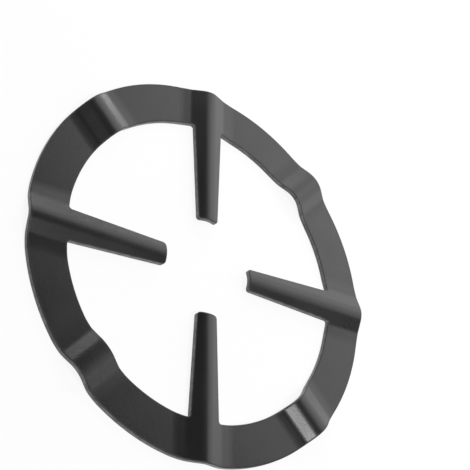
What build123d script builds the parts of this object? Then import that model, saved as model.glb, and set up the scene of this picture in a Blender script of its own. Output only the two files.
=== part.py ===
from build123d import *
from math import cos, radians, sin, tan
import os

# Gas hob reducer ring: one pressed steel sheet, in millimetres.
# It lies on z = 0 with its centre at the origin and its ridges up, and one finger points along +X.

# Sheet and rim
sheet = 2.0
outer_diameter = 145.0
rim_width = 15.1

# Fingers that taper as they reach towards the centre
finger_count = 4
tip_circle_diameter = 36.4
finger_tip_width = 8.4
finger_root_width = 12.0
finger_tip_corner = 1.3
finger_root_fillet = 1.0

# Wave pressed along each finger, from its tip to the outer edge. Beside it the sheet lifts a little.
finger_wave_width = 14.4
finger_wave_flank_angle = 19.5
finger_wave_ridge_bend = 5.0
finger_wave_crease_bend = 2.5
finger_lift_reach = 3.8
finger_lift_angle = 8.0

# Wave pressed across the rim, halfway between two fingers
rim_wave_width = 16.0
rim_wave_flank_angle = 22.5
rim_wave_ridge_bend = 8.0
rim_wave_crease_bend = 4.0
rim_lift_reach = 3.5
rim_lift_angle = 7.0

# Soft bend where the lifted sheet leaves the flat
lift_bend = 25.0

# Cut edges, dulled all round before enamelling
edge_chamfer = 0.3

# A face counts as upright when its normal rises less than this
upright = 0.001

# Sizes that follow from those
outer_radius = outer_diameter / 2
inner_radius = outer_radius - rim_width
tip_radius = tip_circle_diameter / 2
wave_step = 360 / finger_count


def lift_rise(lift_reach, lift_angle):
    """Height of the underside at the crease, where the lifted sheet meets the wave's flank."""
    return lift_reach * tan(radians(lift_angle))


def wave_rise(width, flank_angle, lift_reach, lift_angle):
    """Height of the underside's ridge before it is rounded by its bend."""
    return lift_rise(lift_reach, lift_angle) + width / 2 * tan(radians(flank_angle))


def wave_land(width, lift_reach, lift_angle):
    """Half the width of a wave with its lifts, their soft bends and a little flat sheet."""
    lift_tangent = (lift_bend + sheet) * tan(radians(lift_angle / 2))
    return width / 2 + lift_reach + 2 * lift_tangent


def press_wave(start, width, flank_angle, ridge_bend, crease_bend, lift_reach, lift_angle):
    """A straight wave along +X, from start to past the outer edge.

    The section is five bends with straight sheet between them: a soft one where the sheet lifts
    off the flat, a crease at the foot of the flank, and the ridge. The width is between the creases
    of the underside, and the lift reaches out from them. Bends are given on their inner side, and
    the outer side is one sheet larger, so the sheet keeps its thickness.
    """
    land = wave_land(width, lift_reach, lift_angle)
    half = width / 2
    half_lift = half + lift_reach
    crease_rise = lift_rise(lift_reach, lift_angle)
    rise = wave_rise(width, flank_angle, lift_reach, lift_angle)
    # Each corner of the top lies one sheet off the two straights that meet there
    mean_slope = radians(lift_angle + flank_angle) / 2
    half_turn = radians(flank_angle - lift_angle) / 2
    top_half_lift = half_lift + sheet * tan(radians(lift_angle / 2))
    top_half = half + sheet * sin(mean_slope) / cos(half_turn)
    top_crease = crease_rise + sheet * cos(mean_slope) / cos(half_turn)
    top_rise = rise + sheet / cos(radians(flank_angle))
    outer_lift = lift_bend + sheet
    outer_crease = crease_bend + sheet
    outer_ridge = ridge_bend + sheet
    with BuildPart() as wave:
        with BuildSketch(Plane.YZ.offset(start)):
            with BuildLine():
                under = FilletPolyline(
                    (-land, 0),
                    (-half_lift, 0),
                    (-half, crease_rise),
                    (0, rise),
                    (half, crease_rise),
                    (half_lift, 0),
                    (land, 0),
                    radius=[outer_lift, outer_crease, ridge_bend, outer_crease, outer_lift],
                )
                top = FilletPolyline(
                    (-land, sheet),
                    (-top_half_lift, sheet),
                    (-top_half, top_crease),
                    (0, top_rise),
                    (top_half, top_crease),
                    (top_half_lift, sheet),
                    (land, sheet),
                    radius=[lift_bend, crease_bend, outer_ridge, crease_bend, lift_bend],
                )
                Line(under @ 0, top @ 0)
                Line(under @ 1, top @ 1)
            make_face()
        extrude(amount=outer_radius + rim_width - start)
    return wave


# Outline that the blanking die cuts, with the fingers
with BuildSketch() as blank:
    Circle(outer_radius)
    Circle(inner_radius, mode=Mode.SUBTRACT)
    with PolarLocations(0, finger_count):
        Polygon(
            (tip_radius, -finger_tip_width / 2),
            (inner_radius, -finger_root_width / 2),
            (inner_radius + rim_width / 2, -finger_root_width / 2),
            (inner_radius + rim_width / 2, finger_root_width / 2),
            (inner_radius, finger_root_width / 2),
            (tip_radius, finger_tip_width / 2),
            align=None,
        )
    fillet(blank.vertices().group_by(SortBy.DISTANCE)[1], finger_root_fillet)
    fillet(blank.vertices().group_by(SortBy.DISTANCE)[0], finger_tip_corner)

finger_wave = press_wave(
    tip_radius,
    finger_wave_width,
    finger_wave_flank_angle,
    finger_wave_ridge_bend,
    finger_wave_crease_bend,
    finger_lift_reach,
    finger_lift_angle,
)
rim_wave = press_wave(
    inner_radius - rim_width,
    rim_wave_width,
    rim_wave_flank_angle,
    rim_wave_ridge_bend,
    rim_wave_crease_bend,
    rim_lift_reach,
    rim_lift_angle,
)

with BuildPart() as reducer_ring:
    # Flat sheet, open where the waves come
    with BuildSketch():
        Circle(outer_radius + rim_width)
        with PolarLocations(0, finger_count):
            Rectangle(
                2 * outer_radius,
                2 * wave_land(finger_wave_width, finger_lift_reach, finger_lift_angle),
                align=(Align.MIN, Align.CENTER),
                mode=Mode.SUBTRACT,
            )
        with PolarLocations(0, finger_count, start_angle=wave_step / 2):
            Rectangle(
                2 * outer_radius,
                2 * wave_land(rim_wave_width, rim_lift_reach, rim_lift_angle),
                align=(Align.MIN, Align.CENTER),
                mode=Mode.SUBTRACT,
            )
    extrude(amount=sheet)
    with PolarLocations(0, finger_count):
        add(finger_wave.part)
    with PolarLocations(0, finger_count, start_angle=wave_step / 2):
        add(rim_wave.part)
    # The outline cuts through the sheet from below to above the highest ridge
    tallest = max(
        wave_rise(finger_wave_width, finger_wave_flank_angle, finger_lift_reach, finger_lift_angle),
        wave_rise(rim_wave_width, rim_wave_flank_angle, rim_lift_reach, rim_lift_angle),
    )
    extrude(blank.sketch, amount=2 * (tallest + sheet), mode=Mode.INTERSECT)
    # Every cut wall stands upright, and its upper and lower edges are dulled
    cut_walls = reducer_ring.faces().filter_by(lambda face: abs(face.normal_at().Z) < upright)
    chamfer(cut_walls.edges().filter_by(Axis.Z, reverse=True), edge_chamfer)

reducer_ring.part.label = "reducer_ring"
os.makedirs("parts", exist_ok=True)
export_step(reducer_ring.part, "parts/reducer_ring.step")
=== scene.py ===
from math import cos, pi, radians, sin, tan

import bpy
import numpy as np
from mathutils import Euler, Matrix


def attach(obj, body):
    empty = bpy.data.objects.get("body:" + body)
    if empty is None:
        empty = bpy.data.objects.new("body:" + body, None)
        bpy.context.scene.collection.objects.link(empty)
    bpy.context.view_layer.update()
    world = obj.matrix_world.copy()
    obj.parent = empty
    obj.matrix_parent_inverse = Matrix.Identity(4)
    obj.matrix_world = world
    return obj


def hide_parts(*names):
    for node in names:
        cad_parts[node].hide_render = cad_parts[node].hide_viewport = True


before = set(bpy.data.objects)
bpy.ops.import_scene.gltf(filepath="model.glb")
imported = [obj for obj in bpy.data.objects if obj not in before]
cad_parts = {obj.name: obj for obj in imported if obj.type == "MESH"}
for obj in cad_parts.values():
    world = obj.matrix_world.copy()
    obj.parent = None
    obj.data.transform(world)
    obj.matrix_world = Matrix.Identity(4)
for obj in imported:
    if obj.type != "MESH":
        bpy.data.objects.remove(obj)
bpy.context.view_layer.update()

mm = 0.001
print("frame loaded")


# The ring

# Sizes in millimetres and degrees. The outline is that of the solid that the ring stands for. The waves have
# softer bends than the solid's, as the light on the real ring shows, and stay within 0.1 mm of its surface.
# A wave's width is between the creases of its lower side, and its lift reaches out from them at its own
# slope. Its ridge bend is on the lower side and its crease bend on the upper one. It starts so far from the
# ring's centre.
ringSizes = {
    "sheet": 2.0,
    "outerRadius": 72.5,
    "innerRadius": 57.4,
    "fingers": 4,
    "tipRadius": 18.2,
    "tipHalf": 4.2,
    "rootHalf": 6.0,
    "tipCorner": 1.3,
    "rootFillet": 1.0,
    "edgeRound": 0.33,          # the enamel draws round the cut edges
    "liftBend": 25.0,           # where the lifted sheet leaves the flat, on its upper side
    "fingerWave": {
        "width": 14.0,
        "flank": 19.8,
        "ridgeBend": 6.0,
        "creaseBend": 7.0,
        "reach": 4.4,
        "lift": 7.2,
        "start": 17.0,
    },
    "rimWave": {
        "width": 15.2,
        "flank": 23.8,
        "ridgeBend": 8.4,
        "creaseBend": 8.0,
        "reach": 4.2,
        "lift": 6.7,
        "start": 41.3,
    },
}

# How finely the surface is divided: points on each stretch of the inner edge, and rows over a side and round
# a bend of the cut edge. The rest is in millimetres: the spans across a wave's middle line where the columns
# are closest, and how far from a bend of the cut edge the last rows beside it lie. The nearest of them has so
# much of the bend's dullness.
ringSteps = {
    "tip": 20,
    "corner": 13,
    "side": 36,
    "fillet": 14,
    "fingerCrease": 17,
    "fingerLift": 18,
    "flat": 22,
    "rimLift": 16,
    "rimCrease": 30,
    "rimFlank": 5,
    "rimRidge": 18,
    "fingerCreaseSpan": (7.2, 8.4),
    "rimCreaseSpan": (6.1, 9.4),
    "rimRidgeEnd": 4.2,
    "sideRows": 7,
    "bendRows": 7,
    "closeRow": 0.15,
    "fadeRow": 0.45,
    "closeDullness": 0.7,
}


# Height at the distance s along a line of straights with rounded corners. Each corner but the first and last
# gives way to the circle of its radius that touches both straights, which takes radius times tan(half the
# turn) of each.
def roundedLine(s, corners, radii):
    place, height = np.transpose(corners)
    slope = np.arctan2(np.diff(height), np.diff(place))
    result = np.interp(s, place, height)
    for number, radius in enumerate(radii):
        before, after = slope[number], slope[number + 1]
        side = np.sign(after - before)
        reach = radius * np.tan(abs(after - before) / 2)
        first = place[number + 1] - reach * np.cos(before)
        last = place[number + 1] + reach * np.cos(after)
        centre = first - side * radius * np.sin(before)
        level = height[number + 1] - reach * np.sin(before) + side * radius * np.cos(before)
        arc = level - side * np.sqrt(np.maximum(radius**2 - (s - centre) ** 2, 0))
        result = np.where((s > first) & (s < last), arc, result)
    return result


# Corners and bends of a wave's section over the flat: its ridge at the middle, the crease at the foot of its
# flank, and the line where the lifted sheet beside it meets the flat. The lower side has the wave's own
# corners. Each corner of the upper side lies one sheet off the two straights that meet there, and its bend
# is one sheet larger on the ridge and one smaller beside it, so the sheet keeps its thickness.
def waveSection(wave, upper):
    sheet = ringSizes["sheet"]
    flank, lift = radians(wave["flank"]), radians(wave["lift"])
    crease = wave["width"] / 2
    foot = crease + wave["reach"]
    creaseRise = wave["reach"] * tan(lift)
    rise = creaseRise + crease * tan(flank)
    if upper:
        slope, turn = (flank + lift) / 2, (flank - lift) / 2
        crease += sheet * sin(slope) / cos(turn)
        creaseRise += sheet * (cos(slope) / cos(turn) - 1)
        foot += sheet * tan(lift / 2)
        rise += sheet * (1 / cos(flank) - 1)
        radii = [wave["ridgeBend"] + sheet, wave["creaseBend"], ringSizes["liftBend"]]
    else:
        radii = [wave["ridgeBend"], wave["creaseBend"] + sheet, ringSizes["liftBend"] + sheet]
    return [(-crease, creaseRise), (0, rise), (crease, creaseRise), (foot, 0), (2 * foot, 0)], radii


# Rise of the sheet's lower and upper side over the flat at (x, y): one wave along each finger and one halfway
# between, each with its section across its middle line.
def sheetRise(x, y, upper):
    rise = np.zeros_like(x)
    step = 2 * np.pi / ringSizes["fingers"]
    for name, first in (("fingerWave", 0), ("rimWave", step / 2)):
        wave = ringSizes[name]
        corners, radii = waveSection(wave, upper)
        for number in range(ringSizes["fingers"]):
            turn = first + number * step
            along = x * np.cos(turn) + y * np.sin(turn)
            across = y * np.cos(turn) - x * np.sin(turn)
            height = roundedLine(np.abs(across), corners, radii)
            rise += np.where(along > wave["start"], height, 0)
    return rise


# Half the ground that a wave takes, from its middle line to the flat.
def waveLand(wave):
    bend = ringSizes["liftBend"] + ringSizes["sheet"]
    return wave["width"] / 2 + wave["reach"] + bend * tan(radians(wave["lift"]) / 2)


# Cut edge towards the centre, from the middle of a finger's tip to the middle of the next rim wave, as
# points and normals that point out of the steel: the tip's straight edge, its corner arc, the tapering
# side, the fillet at the root and the inner circle. The columns are closest where the sheet bends.
def innerEdge():
    size, steps = ringSizes, ringSteps
    taper = np.arctan2(size["rootHalf"] - size["tipHalf"], size["innerRadius"] - size["tipRadius"])
    sideWay = np.array([np.cos(taper), np.sin(taper)])
    sideOut = np.array([-np.sin(taper), np.cos(taper)])
    cornerReach = size["tipCorner"] * np.tan((np.pi / 2 - taper) / 2)
    tipEnd = size["tipHalf"] - cornerReach
    points, normals = [], []

    across = np.linspace(0, tipEnd, steps["tip"])[:-1]
    points.append(np.stack([np.full_like(across, size["tipRadius"]), across], 1))
    normals.append(np.tile([-1.0, 0.0], (len(across), 1)))

    turn = np.linspace(np.pi, np.pi / 2 + taper, steps["corner"])
    out = np.stack([np.cos(turn), np.sin(turn)], 1)
    points.append(np.array([size["tipRadius"] + size["tipCorner"], tipEnd]) + size["tipCorner"] * out)
    normals.append(out)
    sideStart = points[-1][-1]

    # The fillet's centre lies one fillet off the side and one fillet inside the inner circle
    base = sideStart + size["rootFillet"] * sideOut
    centreRadius = size["innerRadius"] - size["rootFillet"]
    reach = -base @ sideWay + np.sqrt((base @ sideWay) ** 2 - base @ base + centreRadius**2)
    filletCentre = base + reach * sideWay
    along = np.linspace(0, reach, steps["side"])[1:-1]
    points.append(sideStart + along[:, None] * sideWay)
    normals.append(np.tile(sideOut, (len(along), 1)))

    rootAngle = np.arctan2(filletCentre[1], filletCentre[0])
    turn = np.linspace(taper - np.pi / 2, rootAngle, steps["fillet"])
    out = np.stack([np.cos(turn), np.sin(turn)], 1)
    points.append(filletCentre + size["rootFillet"] * out)
    normals.append(-out)

    # Round the inner circle: the finger wave's crease and lift, the flat, then the rim wave up to its ridge
    radius = size["innerRadius"]
    fingerLand, rimLand = waveLand(size["fingerWave"]), waveLand(size["rimWave"])
    middle = np.pi / size["fingers"]
    creaseStart, creaseEnd = steps["fingerCreaseSpan"]
    crease = np.linspace(creaseStart, creaseEnd, steps["fingerCrease"])[:-1]
    lift = np.linspace(creaseEnd, fingerLand, steps["fingerLift"])
    byFinger = np.arcsin(np.concatenate([crease, lift]) / radius)
    footEnd = middle - np.arcsin(rimLand / radius)
    flat = np.linspace(byFinger[-1], footEnd, steps["flat"])[1:-1]
    creaseStart, creaseEnd = steps["rimCreaseSpan"]
    stretches = [
        (rimLand, creaseEnd, steps["rimLift"]),
        (creaseEnd, creaseStart, steps["rimCrease"]),
        (creaseStart, steps["rimRidgeEnd"], steps["rimFlank"]),
        (steps["rimRidgeEnd"], 0, steps["rimRidge"]),
    ]
    across = [np.linspace(first, last, count)[:-1] for first, last, count in stretches]
    byRim = middle - np.arcsin(np.concatenate(across + [[0.0]]) / radius)
    turn = np.concatenate([byFinger, flat, byRim])
    out = np.stack([np.cos(turn), np.sin(turn)], 1)
    points.append(radius * out)
    normals.append(-out)
    return np.concatenate(points), np.concatenate(normals)


# Angle on the outer circle where the line that starts at the inner points ends. Lines keep their distance
# from a wave's middle line on its ground, and fan out evenly over the flat in between.
def outerAngle(start, radius):
    middle = np.pi / ringSizes["fingers"]
    fingerLand, rimLand = waveLand(ringSizes["fingerWave"]), waveLand(ringSizes["rimWave"])
    across = start[:, 1]
    rimAcross = start[:, 0] * np.sin(middle) - start[:, 1] * np.cos(middle)
    startAngle = np.arctan2(start[:, 1], start[:, 0])
    startRadius = ringSizes["innerRadius"] + ringSizes["edgeRound"]
    innerSpan = np.arcsin(fingerLand / startRadius), middle - np.arcsin(rimLand / startRadius)
    outerSpan = np.arcsin(fingerLand / radius), middle - np.arcsin(rimLand / radius)
    fan = np.interp(startAngle, innerSpan, outerSpan)
    byFinger = np.arcsin(np.clip(across / radius, -1, 1))
    byRim = middle - np.arcsin(np.clip(rimAcross / radius, -1, 1))
    onFinger = (across < fingerLand) & (startAngle < middle / 2) | (startAngle < innerSpan[0])
    return np.where(onFinger, byFinger, np.where(startAngle > innerSpan[1], byRim, fan))


# Closed grid, round the ring one way and round the sheet's section the other: upper side, outer edge,
# lower side, inner edge. An edge is a quarter circle of edgeRound above and below an upright wall, and it
# moves along the outline's normal by that radius times (1 - sine), and down by it times (1 - cosine). The
# other values say what each row is: cutEdge is 1 on a wall and falls off round a bend by the sine to the
# third power, and places the painted grey reflection of the cut edges. edgeBend is the cosine of the angle
# round a bend, fades in the row beside it, and is 0 on the rest of the side and on the wall.
def ringGrid():
    size, steps = ringSizes, ringSteps
    edge = size["edgeRound"]
    eighth, eighthOut = innerEdge()
    mirror = np.array([1.0, -1.0])
    quarter = np.concatenate([(eighth * mirror)[:0:-1], eighth])[:-1]
    quarterOut = np.concatenate([(eighthOut * mirror)[:0:-1], eighthOut])[:-1]
    startEighth = eighth - edge * eighthOut
    angle = outerAngle(startEighth, size["outerRadius"] - edge)
    quarterAngle = np.concatenate([-angle[:0:-1], angle])[:-1]
    turns = np.arange(size["fingers"]) * 2 * np.pi / size["fingers"]
    inner, innerOut, outerTurn = [], [], []
    for turn in turns:
        spin = np.array([[np.cos(turn), np.sin(turn)], [-np.sin(turn), np.cos(turn)]])
        inner.append(quarter @ spin)
        innerOut.append(quarterOut @ spin)
        outerTurn.append(quarterAngle + turn)
    inner, innerOut, outerTurn = (np.concatenate(part) for part in (inner, innerOut, outerTurn))
    outerOut = np.stack([np.cos(outerTurn), np.sin(outerTurn)], 1)
    outer = size["outerRadius"] * outerOut

    start = inner - edge * innerOut
    end = outer - edge * outerOut
    length = np.linalg.norm(end - start, axis=1)
    close, fade = steps["closeRow"] / length, steps["fadeRow"] / length
    share = fade + np.linspace(0, 1, steps["sideRows"])[:, None] * (1 - 2 * fade)
    share = np.concatenate([[close], share, [1 - close]])
    across = start + share[..., None] * (end - start)
    bend = np.linspace(0, np.pi / 2, steps["bendRows"])
    outerRows = [(outer - edge * (1 - np.sin(a)) * outerOut, edge * (1 - np.cos(a))) for a in bend]
    innerRows = [(inner - edge * (1 - np.sin(a)) * innerOut, edge * (1 - np.cos(a))) for a in bend]

    def upperRow(point, drop):
        x, y = point[:, 0], point[:, 1]
        return np.stack([x, y, size["sheet"] + sheetRise(x, y, True) - drop], 1)

    def lowerRow(point, drop):
        x, y = point[:, 0], point[:, 1]
        return np.stack([x, y, sheetRise(x, y, False) + drop], 1)

    rows = [upperRow(row, 0) for row in across]
    rows += [upperRow(row, drop) for row, drop in outerRows]
    rows.append((upperRow(outer, edge) + lowerRow(outer, edge)) / 2)
    rows += [lowerRow(row, drop) for row, drop in outerRows[::-1]]
    rows += [lowerRow(row, 0) for row in across[::-1]]
    rows += [lowerRow(row, drop) for row, drop in innerRows]
    rows.append((upperRow(inner, edge) + lowerRow(inner, edge)) / 2)
    rows += [upperRow(row, drop) for row, drop in innerRows[::-1]]

    def alongRows(beside, turned, wall):
        side = np.zeros(len(across))
        side[[0, -1]] = beside
        return np.repeat(np.concatenate([side, turned, [wall], turned[::-1]] * 2), len(inner))

    cutEdge = alongRows(0, np.sin(bend) ** 3, 1)
    edgeBend = alongRows(steps["closeDullness"], np.cos(bend), 0)
    return np.stack(rows), cutEdge, edgeBend


# Mesh of a grid that closes on itself both ways; each face goes round the way that points outwards.
def closedGridMesh(name, grid):
    rows, columns = grid.shape[:2]
    row = np.arange(rows)[:, None]
    column = np.arange(columns)[None, :]
    nextRow, nextColumn = (row + 1) % rows, (column + 1) % columns
    corners = [
        row * columns + column,
        nextRow * columns + column,
        nextRow * columns + nextColumn,
        row * columns + nextColumn,
    ]
    faces = np.stack(np.broadcast_arrays(*corners), -1).reshape(-1, len(corners))
    mesh = bpy.data.meshes.new(name)
    mesh.vertices.add(rows * columns)
    mesh.vertices.foreach_set("co", grid.reshape(-1).astype(np.float32))
    mesh.loops.add(faces.size)
    mesh.loops.foreach_set("vertex_index", faces.reshape(-1).astype(np.int32))
    mesh.polygons.add(len(faces))
    mesh.polygons.foreach_set("loop_start", (np.arange(len(faces)) * len(corners)).astype(np.int32))
    mesh.polygons.foreach_set("use_smooth", np.ones(len(faces), dtype=bool))
    mesh.update()
    mesh.validate()
    return mesh


ringPoints, cutEdge, edgeBend = ringGrid()
ring = bpy.data.objects.new("enamelledRing", closedGridMesh("enamelledRing", ringPoints * mm))
for name, values in (("cutEdge", cutEdge), ("edgeBend", edgeBend)):
    ring.data.attributes.new(name, "FLOAT", "POINT").data.foreach_set("value", values.astype(np.float32))
bpy.context.scene.collection.objects.link(ring)
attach(ring, "root")
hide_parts("reducer_ring")
print("ring:", len(ring.data.vertices), "points,", len(ring.data.polygons), "faces")


# Black enamel

# Each noise has a size in millimetres from one lump to the next and a detail in octaves. Bump depths are in
# millimetres too.
enamelLook = {
    "color": (0.008, 0.008, 0.008, 1),
    "edgeSheenColor": (0.18, 0.18, 0.18, 1),     # painted reflection: grey on the cut edges in place of the light their rounded walls reflect
    "edgeLeast": 0.3,           # how much of that painted grey the faintest patches of edge still have
    "ior": 1.5,
    "roughness": 0.3,
    "roughnessSpread": 0.03,    # cloudy, up and down
    "edgeRoughness": 0.12,      # added on cut edges
    "bendRoughness": 0.2,       # added on the bends beside the cut edges, burnt dull in firing
    "noiseRange": (0.3, 0.7),   # what a noise texture mostly gives
    "cloud": {"size": 14, "detail": 3},
    "patch": {"size": 2.5, "detail": 2},
    "peel": {"size": 1.8, "detail": 1.5, "depth": 0.016},
    "grain": {"size": 0.7, "detail": 2, "depth": 0.018},
}


# Near-black vitreous enamel: a soft orange peel and a fine grain as bump, a cloudy roughness, cut edges with
# a painted grey reflection in patches and a duller finish, and dull bends beside them, by the ring's own
# attributes.
def enamelMaterial():
    look = enamelLook
    material = bpy.data.materials.new("blackEnamel")
    material.use_nodes = True
    nodes, links = material.node_tree.nodes, material.node_tree.links
    shader = nodes["Principled BSDF"]
    shader.inputs["IOR"].default_value = look["ior"]
    place = nodes.new("ShaderNodeTexCoord")

    def attribute(name):
        node = nodes.new("ShaderNodeAttribute")
        node.attribute_name = name
        return node.outputs["Fac"]

    def noise(kind):
        node = nodes.new("ShaderNodeTexNoise")
        node.inputs["Scale"].default_value = 1 / (look[kind]["size"] * mm)
        node.inputs["Detail"].default_value = look[kind]["detail"]
        links.new(place.outputs["Object"], node.inputs["Vector"])
        return node.outputs["Fac"]

    def spread(source, low, high):
        node = nodes.new("ShaderNodeMapRange")
        node.inputs["From Min"].default_value, node.inputs["From Max"].default_value = look["noiseRange"]
        node.inputs["To Min"].default_value = low
        node.inputs["To Max"].default_value = high
        links.new(source, node.inputs["Value"])
        return node.outputs["Result"]

    def calculate(operation, *sources):
        node = nodes.new("ShaderNodeMath")
        node.operation = operation
        for socket, source in zip(node.inputs, sources):
            if isinstance(source, (int, float)):
                socket.default_value = source
            else:
                links.new(source, socket)
        return node.outputs["Value"]

    def bump(kind, before=None):
        node = nodes.new("ShaderNodeBump")
        node.inputs["Distance"].default_value = look[kind]["depth"] * mm
        links.new(noise(kind), node.inputs["Height"])
        if before:
            links.new(before, node.inputs["Normal"])
        return node.outputs["Normal"]

    # Painted reflection: a grey base colour on the cut edges, in patches, stands in for the light their walls
    # reflect; the same mask adds roughness there
    patches = spread(noise("patch"), look["edgeLeast"], 1)
    paintedSheenAndDullEdge = calculate("MULTIPLY", attribute("cutEdge"), patches)
    mix = nodes.new("ShaderNodeMix")
    mix.data_type = "RGBA"
    mix.inputs["A"].default_value = look["color"]
    mix.inputs["B"].default_value = look["edgeSheenColor"]
    links.new(paintedSheenAndDullEdge, mix.inputs["Factor"])
    links.new(mix.outputs["Result"], shader.inputs["Base Color"])

    low, high = look["roughness"] - look["roughnessSpread"], look["roughness"] + look["roughnessSpread"]
    roughness = calculate("MULTIPLY_ADD", paintedSheenAndDullEdge, look["edgeRoughness"], spread(noise("cloud"), low, high))
    roughness = calculate("MULTIPLY_ADD", attribute("edgeBend"), look["bendRoughness"], roughness)
    links.new(roughness, shader.inputs["Roughness"])

    links.new(bump("grain", bump("peel")), shader.inputs["Normal"])
    return material


ring.data.materials.append(enamelMaterial())
print("enamel ready")


# Floor, light and camera

stageLook = {
    "floorSize": 30.0,
    "floorDrop": 0.00002,       # just clear of the underside, which would flicker in the same plane
    "floorColor": (0.9, 0.9, 0.9, 1),
    "floorGlow": 0.9,           # how much of the white glow the camera sees in place of the lit floor
    "worldColor": (0.08, 0.08, 0.08, 1),
}

# Angles in degrees, distance and size in metres. The window and the strips give the bands on the waves, and
# the fills show the form from the other sides.
lampLook = {
    "wideWindow": {
        "azimuth": 36,
        "elevation": 25,
        "distance": 0.32,
        "size": (0.36, 0.38),
        "turn": 0,
        "brightness": 1.8,
    },
    "topStrip": {
        "azimuth": 286,
        "elevation": 67.5,
        "distance": 1.2,
        "size": (0.18, 0.46),
        "turn": 5,
        "brightness": 27,
    },
    "rightStrip": {
        "azimuth": 0,
        "elevation": 20,
        "distance": 0.67,
        "size": (0.14, 0.54),
        "turn": 20,
        "brightness": 1.9,
    },
    "backSpot": {
        "azimuth": 86,
        "elevation": 32,
        "distance": 0.5,
        "size": (0.2, 0.14),
        "turn": 0,
        "brightness": 4.4,
    },
    "lowStrip": {
        "azimuth": 72,
        "elevation": 7.5,
        "distance": 0.42,
        "size": (0.52, 0.04),
        "turn": 30,
        "brightness": 8.5,
    },
    "farStrip": {
        "azimuth": 39,
        "elevation": 38,
        "distance": 0.7,
        "size": (0.2, 0.06),
        "turn": 0,
        "brightness": 1.4,
    },
    "windowSpot": {
        "azimuth": 34,
        "elevation": 30,
        "distance": 0.9,
        "size": (0.06, 0.06),
        "turn": 0,
        "brightness": 1.7,
    },
    "frontFill": {
        "azimuth": 218,
        "elevation": 40,
        "distance": 0.9,
        "size": (0.8, 0.5),
        "turn": 0,
        "brightness": 0.9,
    },
    "leftFill": {
        "azimuth": 128,
        "elevation": 35,
        "distance": 0.9,
        "size": (0.6, 0.4),
        "turn": 0,
        "brightness": 0.7,
    },
    "rightFill": {
        "azimuth": 308,
        "elevation": 35,
        "distance": 0.9,
        "size": (0.6, 0.4),
        "turn": 0,
        "brightness": 0.7,
    },
}

# Lens and sensor in millimetres, place in metres and turn in degrees
viewLook = {
    "lens": 106.48,
    "sensorWidth": 36,
    "place": (-0.2636, -0.2087, 0.3684),
    "turn": (26.14, -37.12, 0.09),
}


# White floor: the camera and reflections see it mostly as a plain white glow, and its lit part keeps the
# ring's shadow.
def makeFloor():
    half = stageLook["floorSize"] / 2
    mesh = bpy.data.meshes.new("floor")
    low = -stageLook["floorDrop"]
    corners = [(-half, -half, low), (half, -half, low), (half, half, low), (-half, half, low)]
    mesh.from_pydata(corners, [], [(0, 1, 2, 3)])
    floor = bpy.data.objects.new("floor", mesh)
    bpy.context.scene.collection.objects.link(floor)
    material = bpy.data.materials.new("whiteFloor")
    material.use_nodes = True
    nodes, links = material.node_tree.nodes, material.node_tree.links
    nodes.clear()
    diffuse = nodes.new("ShaderNodeBsdfDiffuse")
    diffuse.inputs["Color"].default_value = stageLook["floorColor"]
    glow = nodes.new("ShaderNodeEmission")
    glow.inputs["Color"].default_value = (1, 1, 1, 1)
    mix = nodes.new("ShaderNodeMixShader")
    path = nodes.new("ShaderNodeLightPath")
    seen = path.outputs["Is Camera Ray"]
    for ray in ("Is Glossy Ray", "Is Transmission Ray"):
        either = nodes.new("ShaderNodeMath")
        either.operation = "MAXIMUM"
        links.new(seen, either.inputs[0])
        links.new(path.outputs[ray], either.inputs[1])
        seen = either.outputs["Value"]
    share = nodes.new("ShaderNodeMath")
    share.operation = "MULTIPLY"
    share.inputs[1].default_value = stageLook["floorGlow"]
    links.new(seen, share.inputs[0])
    links.new(share.outputs["Value"], mix.inputs["Fac"])
    links.new(diffuse.outputs[0], mix.inputs[1])
    links.new(glow.outputs[0], mix.inputs[2])
    output = nodes.new("ShaderNodeOutputMaterial")
    links.new(mix.outputs[0], output.inputs["Surface"])
    mesh.materials.append(material)


def makeWorld():
    world = bpy.data.worlds.new("studio")
    bpy.context.scene.world = world
    world.use_nodes = True
    background = world.node_tree.nodes["Background"]
    background.inputs["Color"].default_value = stageLook["worldColor"]
    background.inputs["Strength"].default_value = 1


# A soft lamp turned to the ring's centre, from an azimuth and elevation in degrees and a distance in metres.
# Its power is pi times its area times its brightness, so that a mirror would show it at that brightness.
def makeLamp(name, look):
    width, height = look["size"]
    azimuth, elevation = radians(look["azimuth"]), radians(look["elevation"])
    lamp = bpy.data.lights.new(name, "AREA")
    lamp.shape = "RECTANGLE"
    lamp.size, lamp.size_y = width, height
    lamp.energy = pi * width * height * look["brightness"]
    thing = bpy.data.objects.new(name, lamp)
    ground = look["distance"] * cos(elevation)
    thing.location = (ground * cos(azimuth), ground * sin(azimuth), look["distance"] * sin(elevation))
    turned = Euler((pi / 2 - elevation, 0, azimuth + pi / 2))
    turned.rotate_axis("Z", radians(look["turn"]))
    thing.rotation_euler = turned
    bpy.context.scene.collection.objects.link(thing)


makeFloor()
makeWorld()
for name, look in lampLook.items():
    makeLamp(name, look)

view = bpy.data.cameras.new("view")
view.lens = viewLook["lens"]
view.sensor_width = viewLook["sensorWidth"]
viewer = bpy.data.objects.new("view", view)
viewer.location = viewLook["place"]
viewer.rotation_euler = [radians(angle) for angle in viewLook["turn"]]
bpy.context.scene.collection.objects.link(viewer)
bpy.context.scene.camera = viewer
bpy.context.scene.view_settings.view_transform = "Standard"
print("stage ready")
